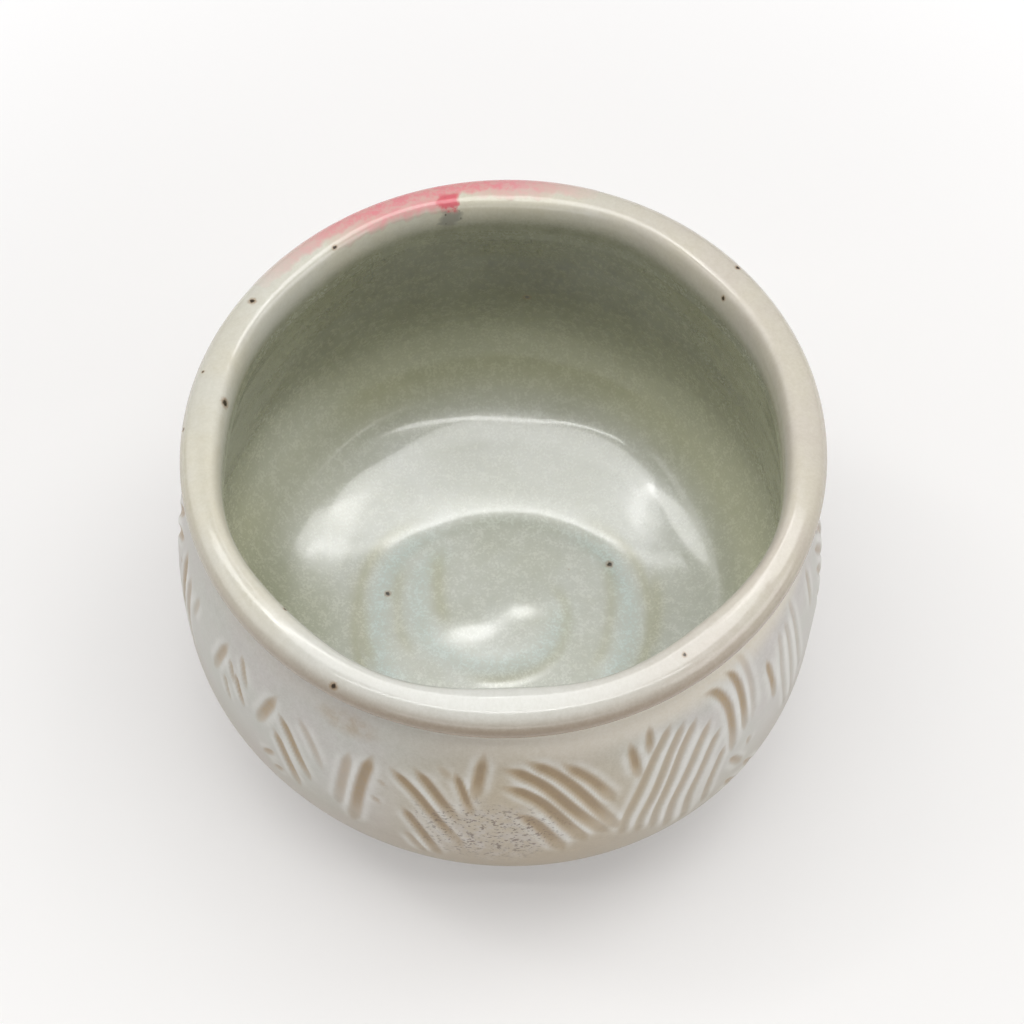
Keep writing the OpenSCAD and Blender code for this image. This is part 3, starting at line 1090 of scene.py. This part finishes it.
@dataclass(frozen=True)
class PaleGlazeFinish(Finish):
    """Pale outside glaze that breaks to tan in the gouge strokes."""

    slot: Slot = Slot.PALE_GLAZE
    rough: float = 0.34
    rough_span: Point = (-0.05, 0.08)
    pale: Colour = shade(207, 207, 199)
    beige: Colour = shade(200, 188, 166)
    # Lower belly tone: partly glaze, partly painted shade.
    low: Colour = shade(174, 159, 137)
    # Light laid on the neck: painted light against the lip's shade.
    neck: Colour = shade(238, 231, 217)
    tan: Colour = shade(182, 159, 126)
    deep: Colour = shade(160, 136, 104)
    # Whiter ridges: partly glaze, partly painted highlight.
    ridge: Colour = shade(236, 235, 230)
    lilac: Colour = shade(214, 204, 204)
    edge: Colour = shade(186, 166, 138)
    fleck: Colour = shade(112, 92, 80)
    scuff: Colour = shade(204, 197, 190)
    front_spot: Spot = (5.0, -57.0, 44.0)
    blot_spot: Spot = (-25.0, -47.2, 135.0)
    blot_scale: Spot = (1.0, 1.0, 2.2)
    fleck_spot: Spot = (-1.0, -42.9, 40.5)
    fleck_scale: Spot = (0.75, 0.75, 1.0)
    dash_scale: Spot = (1.0, 1.0, 1.35)

    def tint(self, melt: Melt) -> bpy.types.NodeSocket:
        """Mixes the ground, with painted shade low at the front and painted light on the neck, then the ridges, partly
        painted highlight, the strokes and the thin edges, partly painted shade under the lip.

        Args:
            melt: What the finish starts from.

        Returns:
            The colour.
        """
        bench, place = melt.bench, melt.place
        front, axes = bench.gap(place, self.front_spot), bench.axes(place)
        # Darker and browner towards the bottom, most at the front: partly glaze tone, partly painted shade of the
        # lower belly.
        under = bench.step(axes["Z"], 22.0, 46.0, 0.85, 0.0)
        under = bench.times(under, bench.step(front, 16.0, 48.0, 1.0, 0.55))
        # Lighter neck band under the lip, strongest on the right: painted light.
        painted_neck_light = bench.step(axes["X"], -20.0, 30.0, 0.2, 0.95)
        painted_neck_light = bench.times(bench.step(axes["Z"], 59.0, 64.0), painted_neck_light)
        colour = bench.blend(bench.times(melt.cloud, 0.45), self.pale, self.lilac)
        colour = bench.blend(bench.step(front, 10.0, 34.0, 1.0, 0.0), colour, self.beige)
        colour = bench.blend(painted_neck_light, colour, self.neck)
        colour = bench.blend(under, colour, self.low)
        blot = bench.step(bench.gap(bench.stretch(place, self.blot_scale), self.blot_spot), 1.0, 8.0, 0.6, 0.0)
        torn = bench.step(bench.noise(place, 0.4, 3.0), 0.35, 0.6, 0.3, 1.0)
        colour = bench.blend(bench.times(blot, torn), colour, self.edge)
        # Whiter along the ridges between strokes: partly the glaze, partly painted highlight.
        colour = bench.blend(bench.times(bench.mark("ridge"), 0.8), colour, self.ridge)
        warm = bench.mark("warm")
        colour = bench.blend(bench.times(warm, bench.step(melt.grain, 0.2, 0.8, 0.75, 1.0)), colour, self.tan)
        deep = bench.times(bench.step(warm, 0.6, 1.0, 0.0, 0.6), bench.step(front, 16.0, 46.0, 1.0, 0.25))
        colour = bench.blend(deep, colour, self.deep)
        # Tan at the glaze's lower edge, and under the lip partly painted shade.
        colour = bench.blend(bench.times(bench.mark("thin"), 0.8), colour, self.edge)
        colour = self.worn(melt, warm, colour)
        return melt.grained(0.4, colour, shade(100, 98, 94), shade(212, 212, 214))

    def worn(self, melt: Melt, warm: object, colour: object) -> bpy.types.NodeSocket:
        """Lays the patch of iron flecks and pale scuffs over the front of the carving.

        Args:
            melt: What the finish starts from.
            warm: How far each spot lies in a gouge stroke.
            colour: The colour under the patch.

        Returns:
            The colour with the patch.
        """
        bench, place = melt.bench, melt.place
        gap = bench.gap(bench.stretch(place, self.fleck_scale), self.fleck_spot)
        ragged = bench.math("ADD", gap, bench.times(bench.noise(place, 0.35, 3.0), 7.0))
        patch = bench.step(ragged, 9.0, 16.5, 1.0, 0.0)
        pale = bench.times(patch, bench.step(bench.noise(place, 0.6, 4.0, 0.65), 0.4, 0.65, 0.15, 0.75))
        colour = bench.blend(bench.times(pale, bench.step(warm, 0.1, 0.8, 1.0, 0.15)), colour, self.scuff)
        dashes = bench.stretch(place, self.dash_scale)
        fleck = bench.step(bench.noise(dashes, 1.1, 2.0, 0.6), 0.57, 0.63, 0.0, 0.7)
        fleck = bench.math("MAXIMUM", fleck, bench.times(melt.pepper(dashes, 1.0, 0.65), 0.8))
        return bench.blend(bench.times(fleck, patch), colour, self.fleck)


@dataclass(frozen=True)
class CreamGlazeFinish(Finish):
    """Cream lip band: tan underneath, partly thin glaze and partly painted shade, and dark grey-green towards the
    lining as painted shade.
    """

    slot: Slot = Slot.CREAM_GLAZE
    rough: float = 0.13
    rough_span: Point = (-0.04, 0.06)
    bump_depth: float = 0.00004
    sheen: float = 0.7
    cream: Colour = shade(213, 208, 190)
    # White for the random clouding, and on the near side of the lip a painted sheen.
    white_and_sheen: Colour = shade(216, 216, 210)
    rose: Colour = shade(206, 196, 184)
    edge: Colour = shade(156, 136, 112)
    # Grey-green of the lining on the lip's inner face, darkened as painted shade under the lip.
    inner: tuple[Colour, Colour] = (shade(128, 128, 101), shade(150, 150, 124))
    specks: tuple[Speck, ...] = (
        Speck((-29.9, 38.2, 75.2), 0.4),
        Speck((-43.5, 26.9, 76.0), 0.5),
        Speck((-50.8, 12.7, 75.5), 0.25),
        Speck((-47.4, 6.7, 74.5), 0.7),
        Speck((-53.5, 1.8, 74.4), 0.3),
        Speck((39.9, 34.1, 75.5), 0.4),
        Speck((38.0, 28.8, 74.0), 0.35),
        Speck((-26.3, -46.4, 74.7), 0.55),
        Speck((-34.8, -33.1, 74.7), 0.35),
        Speck((29.3, -41.2, 76.0), 0.3),
    )

    def tint(self, melt: Melt) -> bpy.types.NodeSocket:
        """Mixes the cream, its whiter near side as painted sheen, its tan underside, partly painted shade, and its
        inner side, darkened as painted shade, then what is melted into it.

        Args:
            melt: What the finish starts from.

        Returns:
            The colour.
        """
        bench, axes = melt.bench, melt.bench.axes(melt.place)
        # Whiter towards the near side of the lip: painted sheen.
        near = bench.step(axes["Y"], -50.0, -22.0, 0.85, 0.0)
        colour = bench.blend(bench.times(melt.cloud, 0.5), self.cream, self.white_and_sheen)
        colour = bench.blend(near, colour, self.white_and_sheen)
        rosy = bench.times(bench.step(axes["X"], 0.0, 42.0), bench.step(melt.cloud, 0.0, 1.0, 0.35, 0.7))
        colour = bench.blend(rosy, colour, self.rose)
        # Tan underside: thin glaze, with painted shade at the front.
        colour = bench.blend(bench.times(bench.mark("thin"), 0.9), colour, self.edge)
        # Inner face of the lip below the cream: grey-green darkened as painted shade.
        colour = bench.blend(bench.mark("cream"), bench.blend(melt.grain, *self.inner), colour)
        colour = melt.grained(0.3, colour, shade(100, 98, 90), shade(214, 214, 214))
        return self.specked(melt, self.stain(melt, colour), self.specks)

    def stain(self, melt: Melt, colour: object) -> object:
        """Lays what is melted into the glaze over its colour, here nothing."""
        return colour


@dataclass(frozen=True)
class CopperFinish(CreamGlazeFinish):
    """Cream lip glaze with the copper stain melted into it."""

    slot: Slot = Slot.COPPER_RED
    red: Colour = shade(230, 124, 138)
    drip: Colour = shade(216, 110, 118)
    char: Colour = shade(118, 116, 110)
    speck: Colour = shade(58, 50, 44)

    def stain(self, melt: Melt, colour: object) -> object:
        """Lays the copper blush and its drip over the cream.

        Args:
            melt: What the finish starts from.
            colour: The cream.

        Returns:
            The stained colour.
        """
        bench, place = melt.bench, melt.place
        torn = bench.step(bench.noise(place, 0.5, 4.0, 0.65), 0.3, 0.62, 0.8, 1.0)
        torn = bench.times(torn, bench.step(melt.grain, 0.2, 0.7, 0.62, 0.82))
        colour = bench.blend(bench.times(bench.mark("blush"), torn), colour, self.red)
        high = bench.axes(place)["Z"]
        torn = bench.step(bench.noise(place, 1.5, 3.0, 0.6), 0.4, 0.56, 0.45, 1.0)
        torn = bench.math("MAXIMUM", torn, bench.step(high, 74.2, 75.0))
        colour = bench.blend(bench.times(bench.mark("drip"), torn), colour, self.drip)
        colour = bench.blend(bench.times(bench.mark("char"), 0.62), colour, self.char)
        burnt = bench.times(bench.mark("drip"), bench.step(high, 73.6, 75.0, 0.9, 0.15))
        burnt = bench.math("MAXIMUM", burnt, bench.mark("char"))
        return bench.blend(bench.times(burnt, melt.pepper(place, 1.15, 0.8)), colour, self.speck)


@dataclass(frozen=True)
class BareClayFinish(Finish):
    """Bare fired clay with fine grit."""

    slot: Slot = Slot.STONEWARE
    rough: float = 0.78
    rough_span: Point = (-0.1, 0.1)
    bump_depth: float = 0.0003
    bump_strength: float = 0.6
    light: Colour = shade(204, 180, 152)
    dark: Colour = shade(168, 138, 108)
    grit: Colour = shade(84, 60, 42)

    def relief(self, melt: Melt) -> bpy.types.NodeSocket:
        """Height of the bump, here the grit of the clay."""
        return melt.grain

    def tint(self, melt: Melt) -> bpy.types.NodeSocket:
        """Mixes the clay and its grit.

        Args:
            melt: What the finish starts from.

        Returns:
            The colour.
        """
        bench = melt.bench
        colour = bench.blend(melt.cloud, self.light, self.dark)
        colour = bench.blend(bench.times(melt.pepper(melt.place, 0.9, 0.25), 0.7), colour, self.grit)
        return melt.grained(0.5, colour, shade(90, 84, 78), shade(190, 188, 184))


@dataclass
class Piece:
    """Shared ways of every piece of the bowl."""

    form: BowlForm = field(default_factory=BowlForm)
    wobble: HandWobble = field(default_factory=HandWobble)

    @staticmethod
    def finish(shell: Turned, made: bpy.types.Material, slot: Slot, nodes: tuple[str, ...]) -> None:
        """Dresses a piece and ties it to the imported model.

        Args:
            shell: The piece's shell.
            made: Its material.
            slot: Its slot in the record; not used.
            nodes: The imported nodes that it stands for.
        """
        obj = shell.obj
        obj.data.materials.clear()
        obj.data.materials.append(made)
        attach(obj, "root")
        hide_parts(*nodes)
        LOG.info("%s: %d faces", obj.name, len(obj.data.polygons))


@dataclass
class OutsideGlaze(Piece):
    """Pale glaze over the belly and the carved shoulder."""

    columns: int = 840
    step: float = 0.52
    belly_columns: int = 480
    carving: CarvedBand = field(default_factory=CarvedBand)

    def build(self, made: bpy.types.Material) -> None:
        """Throws the shoulder, carves it, and throws the belly under it.

        Args:
            made: The pale glaze.
        """
        back = self.form.shoulder(5.0, 2.0)[::-1]
        shell = Wheel.throw("shoulder_glaze", self.form.shoulder(self.step), back, self.columns)
        move, warm, ridge = self.carving.cut(shell)
        shell.mark("warm", warm)
        shell.mark("ridge", ridge)
        shell.mark("thin", self.thin(shell))
        shell.settle(self.wobble, move)
        self.finish(shell, made, Slot.PALE_GLAZE, ("outside_glaze",))
        back = self.form.belly(4.0, GLAZE_THICK)[::-1]
        shell = Wheel.throw("belly_glaze", self.form.belly(0.8), back, self.belly_columns)
        for name in ("warm", "ridge"):
            shell.mark(name, np.zeros(len(shell.row)))
        shell.mark("thin", self.thin(shell))
        shell.settle(self.wobble)
        self.finish(shell, made, Slot.PALE_GLAZE, ("outside_glaze",))

    @staticmethod
    def thin(shell: Turned) -> np.ndarray:
        """Where the glaze is thin at its lower edge, and the tan under the lip, partly thin glaze and partly painted
        shade.
        """
        return 0.7 * ease(66.6, 68.8, shell.height) + 1.0 - ease(8.0, 9.2, shell.height)


@dataclass
class LiningGlaze(Piece):
    """Celadon inside, with the throwing marks showing through."""

    columns: int = 460
    step: float = 0.55
    marks: ThrowingMarks = field(default_factory=ThrowingMarks)

    def build(self, made: bpy.types.Material) -> None:
        """Throws the lining and presses the throwing marks into it.

        Args:
            made: The celadon.
        """
        back = self.form.lining(5.0, GLAZE_THICK)[::-1]
        shell = Wheel.throw("lining_glaze", self.form.lining(self.step), back, self.columns)
        move, pool, crest = self.marks.press(shell)
        shell.mark("pool", pool)
        shell.mark("crest", crest)
        shell.mark("cream", LipGlaze.creaminess(shell))
        shell.settle(self.wobble, move)
        self.finish(shell, made, Slot.CELADON, ("inside_glaze",))


@dataclass
class LipGlaze(Piece):
    """Cream band rolled over the lip."""

    columns: int = 720
    step: float = 0.3
    slope: float = 0.28
    flat: float = 0.2
    rise: float = 0.25
    spread: float = 0.65

    def build(self, made: bpy.types.Material) -> None:
        """Throws the lip band.

        Args:
            made: The cream glaze.
        """
        back = self.form.lip(1.2, GLAZE_THICK)[::-1]
        shell = Wheel.throw("lip_band", self.form.lip(self.step), back, self.columns)
        self.shade(shell)
        self.roll(shell)
        shell.settle(self.wobble)
        self.finish(shell, made, Slot.CREAM_GLAZE, ("lip_glaze",))

    def shade(self, shell: Turned) -> None:
        """Marks the tan underside of the lip, thin glaze all round and painted shade at the front, and where it is
        cream.

        Args:
            shell: The shell of the lip.
        """
        outer = ease(50.0, 52.0, shell.radius)
        near = np.clip(np.cos(np.radians(shell.angle)), 0.0, 1.0)
        under = 1.0 - ease(71.0, 75.2, shell.height)
        # Tan reaches higher on the front side: painted shade under the lip.
        shell.mark("thin", outer * np.maximum(under, near * (1.0 - ease(73.4, 76.4, shell.height))))
        shell.mark("cream", np.maximum(self.creaminess(shell), outer))

    def roll(self, shell: Turned) -> None:
        """Flattens the top of the lip, leans its crest inwards and spreads its far side.

        Args:
            shell: The shell of the lip.
        """
        form = self.form
        out = shell.radius - form.bead_centre[0]
        up = np.clip((shell.height - form.bead_centre[1]) / form.bead, 0.0, 1.0)
        far = 0.5 + 0.5 * np.cos(np.radians(shell.angle - 164.0))
        spread = self.spread * far * ease(-0.7, 2.3, out) * ease(68.0, 72.0, shell.height)
        shell.height = shell.height + self.flat * form.bead * (up - up**4) + (self.rise - self.slope * out) * up
        shell.radius = shell.radius + spread

    @staticmethod
    def creaminess(shell: Turned) -> np.ndarray:
        """Finds how far the cream of the lip has run into the lining.

        Args:
            shell: The shell of the lip or the lining.

        Returns:
            The share of cream at each vertex, 0 to 1.
        """
        turn = np.radians(shell.angle)
        wide = 2.4 * np.clip(np.cos(turn + 2.0), 0.0, 1.0) + 3.4 * np.clip(np.cos(turn - 1.5), 0.0, 1.0)
        return ease(70.6, 75.4, shell.height + wide)


@dataclass
class CopperBlush(LipGlaze):
    """Film of copper red that melted into the lip at the back, with a drip down the inside."""

    span: Point = (150.0, 246.0)
    proud: float = 0.05
    sunk: float = 0.08
    film_foot: float = 69.6
    drip_angle: float = 191.8

    def build(self, made: bpy.types.Material) -> None:
        """Throws a sector of the lip and sinks its border into the cream.

        Args:
            made: The copper glaze.
        """
        form = self.form
        face, foot = form.throat, self.film_foot
        skin = join(
            arc(form.bead_centre, form.bead, -30.0, 180.0, self.step),
            line((face, form.bead_centre[1]), (face, foot), self.step),
        )
        back = [(face + 0.3, foot), *arc(form.bead_centre, form.bead - 0.3, 180.0, -30.0, 1.0)]
        shell = Wheel.throw("copper_film", skin, back, self.columns, self.span)
        self.shade(shell)
        cover = self.stain(shell)
        self.roll(shell)
        shell.settle(self.wobble, ((self.proud + self.sunk) * cover - self.sunk) * shell.skin)
        self.finish(shell, made, Slot.COPPER_RED, ("copper_blush",))

    def stain(self, shell: Turned) -> np.ndarray:
        """Marks the blush and the drip.

        Args:
            shell: The film's shell.

        Returns:
            How far each vertex is covered by the stain, 0 to 1.
        """
        centre = self.form.bead_centre
        bead = np.degrees(np.arctan2(shell.height - centre[1], shell.radius - centre[0])) % 360.0
        bead = np.where(bead > 300.0, bead - 360.0, bead)
        turn = shell.angle % 360.0
        ragged = 4.0 * np.sin(turn * 0.9) + 3.0 * np.sin(turn * 2.3 + 1.0) + 1.5 * np.sin(turn * 4.7)
        tilted = bead + ragged
        outer = ease(158.0, 184.0, turn) * (1.0 - ease(206.0, 240.0, turn)) * (1.0 - ease(84.0, 106.0, tilted))
        inner = ease(189.0, 196.0, turn) * (1.0 - ease(204.0, 222.0, turn)) * (1.0 - ease(132.0, 160.0, tilted))
        faint = ease(168.0, 178.0, turn) * (1.0 - ease(182.0, 189.0, turn)) * (1.0 - ease(100.0, 132.0, tilted))
        blush = np.maximum(np.maximum(outer, 0.8 * inner), 0.5 * faint) * ease(-28.0, -5.0, bead)
        off = turn - self.drip_angle + 0.5 * np.sin(shell.height * 1.9) + 0.3 * np.sin(shell.height * 5.3)
        wide = 1.5 + 1.1 * ease(73.9, 75.5, shell.height)
        blob = (np.abs(off) / wide) ** 3 + (np.abs(shell.height - 75.1) / 1.35) ** 3
        drip = (1.0 - ease(0.4, 1.1, blob)) * ease(84.0, 98.0, bead)
        ash = ((off - 0.3) / 2.7) ** 2 + ((shell.height - 72.9) / 2.1) ** 2
        char = (1.0 - ease(0.3, 1.1, ash)) * (1.0 - drip) * ease(110.0, 130.0, bead)
        shell.mark("blush", blush)
        shell.mark("drip", drip)
        shell.mark("char", char)
        return ease(0.0, 0.12, np.maximum(np.maximum(blush, drip), char))


@dataclass
class ClayCore(Piece):
    """Stoneware body under the glazes, bare only under the base."""

    columns: int = 192

    def build(self, made: bpy.types.Material) -> None:
        """Throws the clay body.

        Args:
            made: The bare clay.
        """
        form = self.form
        skin = join(
            line((0.0, BASE_HEIGHT), (form.belly_centre[0], BASE_HEIGHT), 3.0),
            arc(form.belly_centre, 23.5, -90.0, -60.0, 1.5),
            arc(form.belly_centre, 21.9, -50.0, 0.0, 3.0),
            arc((0.0, form.ball_height), 55.0, 2.0, 24.0, 3.0),
            arc(form.neck_centre, form.neck_curve + 0.7, 203.0, 132.0, 1.0),
            arc(form.bead_centre, 2.6, -45.0, 180.0, 1.0),
        )
        back = form.lining(4.0, 0.6)
        shell = Wheel.throw("clay_core", skin, back, self.columns)
        shell.settle(self.wobble)
        self.finish(shell, made, Slot.STONEWARE, ("clay_body",))


@dataclass
class FootRing(Piece):
    """Turned foot ring, bare clay with soft edges and fine turning lines."""

    columns: int = 256
    soft: float = 0.8

    def build(self, made: bpy.types.Material) -> None:
        """Turns the foot ring.

        Args:
            made: The toasted clay.
        """
        soft = self.soft
        skin = join(
            line((29.0, BASE_HEIGHT), (28.0, soft), 0.4),
            arc((27.2, soft), soft, 0.0, -90.0, 0.2),
            line((27.2, 0.0), (23.2, 0.0), 0.4),
            arc((23.2, soft), soft, -90.0, -180.0, 0.2),
            line((22.4, soft), (21.4, BASE_HEIGHT), 0.4),
        )
        shell = Wheel.throw("turned_foot", skin, [(25.2, BASE_HEIGHT)], self.columns)
        lines = 0.05 * np.sin(shell.along * 4.6 + np.radians(shell.angle)) * shell.skin
        lines *= ease(0.4, 1.6, shell.height) * (1.0 - ease(7.4, 8.2, shell.height))
        shell.settle(None, lines)
        self.finish(shell, made, Slot.FOOT_CLAY, ("foot_ring",))


@dataclass(frozen=True)
class Lamp:
    """A soft box or strip of the studio."""

    name: str
    place: Spot
    size: Point
    radiance: float
    spin: float = 0.0
    round: bool = False

    def hang(self, aim: Vector) -> None:
        """Hangs the lamp so that it faces the bowl.

        Args:
            aim: Point that it faces.
        """
        data = bpy.data.lights.new(self.name, "AREA")
        data.shape = "ELLIPSE" if self.round else "RECTANGLE"
        data.size, data.size_y = self.size
        data.energy = self.radiance * math.pi * self.size[0] * self.size[1] * (math.pi / 4 if self.round else 1.0)
        obj = bpy.data.objects.new(self.name, data)
        bpy.context.scene.collection.objects.link(obj)
        obj.location = self.place
        obj.rotation_mode = "QUATERNION"
        facing = (aim - Vector(self.place)).to_track_quat("-Z", "Y")
        obj.rotation_quaternion = facing @ Quaternion((0.0, 0.0, 1.0), math.radians(self.spin))


@dataclass(frozen=True)
class Studio:
    """Pale floor, soft light and the camera."""

    floor_size: float = 6.0
    eye: Spot = (0.0, -0.22923, 0.44484)
    aim: Spot = (0.00187, 0.00595, 0.04)
    roll: float = 1.365
    lens: float = 91.41
    sky: float = 0.2
    bowl_middle: float = 0.04
    glow: Point = (0.2, 0.9)
    lamps: tuple[Lamp, ...] = (
        Lamp("top_panel", (0.0, 0.025, 0.82), (0.98, 0.53), 2.65, round=True),
        Lamp("back_strip", (0.0, 0.3, 0.79), (0.9, 0.033), 4.0),
        Lamp("back_core", (0.0, 0.3, 0.78), (0.17, 0.03), 5.0),
        Lamp("front_strip", (0.0, -0.245, 0.76), (0.9, 0.026), 10.0),
        Lamp("right_box", (0.4, 0.205, 0.72), (0.17, 0.42), 3.2, -38.5),
        Lamp("left_bar", (-0.3, 0.135, 0.78), (0.035, 0.28), 5.0, 55.7),
        Lamp("left_box", (-0.52, 0.15, 0.77), (0.1, 0.3), 4.4, -12.7),
        Lamp("right_wall", (0.75, -0.3, 0.4), (0.7, 0.4), 1.5),
        Lamp("left_wall", (-0.8, 0.1, 0.5), (0.8, 0.5), 1.0),
        Lamp("front_low", (0.0, -1.1, 0.13), (1.4, 0.24), 1.3),
    )

    def lay_floor(self) -> None:
        """Lays the pale floor."""
        Wheel.clear()
        bpy.ops.mesh.primitive_plane_add(size=self.floor_size, location=(0.0, 0.0, 0.0))
        floor = bpy.context.object
        floor.name = floor.data.name = "floor"
        made = bpy.data.materials.new("pale_floor")
        made.use_nodes = True
        bench = NodeBench(made.node_tree)
        base = bench.add("ShaderNodeBsdfPrincipled", {"Roughness": 0.6, "Base Color": shade(240, 238, 236)})
        shine = bench.add("ShaderNodeEmission", {"Color": shade(252, 252, 253), "Strength": 1.18})
        path = bench.add("ShaderNodeLightPath")
        spread = bench.gap(bench.add("ShaderNodeTexCoord").outputs["Object"], (0.0, 0.0, 0.0))
        share = bench.times(path.outputs["Is Camera Ray"], bench.step(spread, 0.1, 0.3, *self.glow))
        mixed = bench.add("ShaderNodeMixShader", {0: share, 1: base.outputs[0], 2: shine.outputs[0]})
        bench.add("ShaderNodeOutputMaterial", {"Surface": mixed.outputs[0]})
        floor.data.materials.append(made)

    def light(self) -> None:
        """Sets the sky and hangs the lamps."""
        world = bpy.data.worlds.new("soft_sky")
        bpy.context.scene.world = world
        world.use_nodes = True
        bench = NodeBench(world.node_tree)
        path = bench.add("ShaderNodeLightPath")
        strength = bench.math("MULTIPLY_ADD", path.outputs["Is Camera Ray"], 1.0 - self.sky)
        strength.node.inputs[2].default_value = self.sky
        sky = bench.add("ShaderNodeBackground", {"Color": (1.0, 1.0, 1.0, 1.0), "Strength": strength})
        bench.add("ShaderNodeOutputWorld", {"Surface": sky.outputs[0]})
        for lamp in self.lamps:
            lamp.hang(Vector((0.0, 0.0, self.bowl_middle)))

    def set_camera(self) -> None:
        """Sets the camera at the photo's angle."""
        data = bpy.data.cameras.new("camera")
        data.lens, data.sensor_width = self.lens, 36.0
        obj = bpy.data.objects.new("camera", data)
        bpy.context.scene.collection.objects.link(obj)
        obj.location = self.eye
        obj.rotation_mode = "QUATERNION"
        gaze = (Vector(self.aim) - Vector(self.eye)).to_track_quat("-Z", "Y")
        obj.rotation_quaternion = gaze @ Quaternion((0.0, 0.0, 1.0), math.radians(self.roll))
        bpy.context.scene.camera = obj

    def build(self) -> None:
        """Sets up the whole studio."""
        bpy.context.scene.view_settings.view_transform = "Standard"
        self.lay_floor()
        self.light()
        self.set_camera()


def main() -> None:
    """Builds the bowl piece by piece."""
    logging.basicConfig(level=logging.INFO, format="%(name)s: %(message)s")
    effects = GlazeEffects()
    OutsideGlaze().build(PaleGlazeFinish().material(effects))
    LiningGlaze().build(CeladonFinish().material(effects))
    LipGlaze().build(CreamGlazeFinish().material(effects))
    CopperBlush().build(CopperFinish().material(effects))
    ClayCore().build(BareClayFinish().material(effects))
    toasted = BareClayFinish(slot=Slot.FOOT_CLAY, rough=0.82, light=shade(186, 158, 128), dark=shade(142, 110, 84))
    FootRing().build(toasted.material(effects))
    Studio().build()


if __name__ == "__main__":
    main()
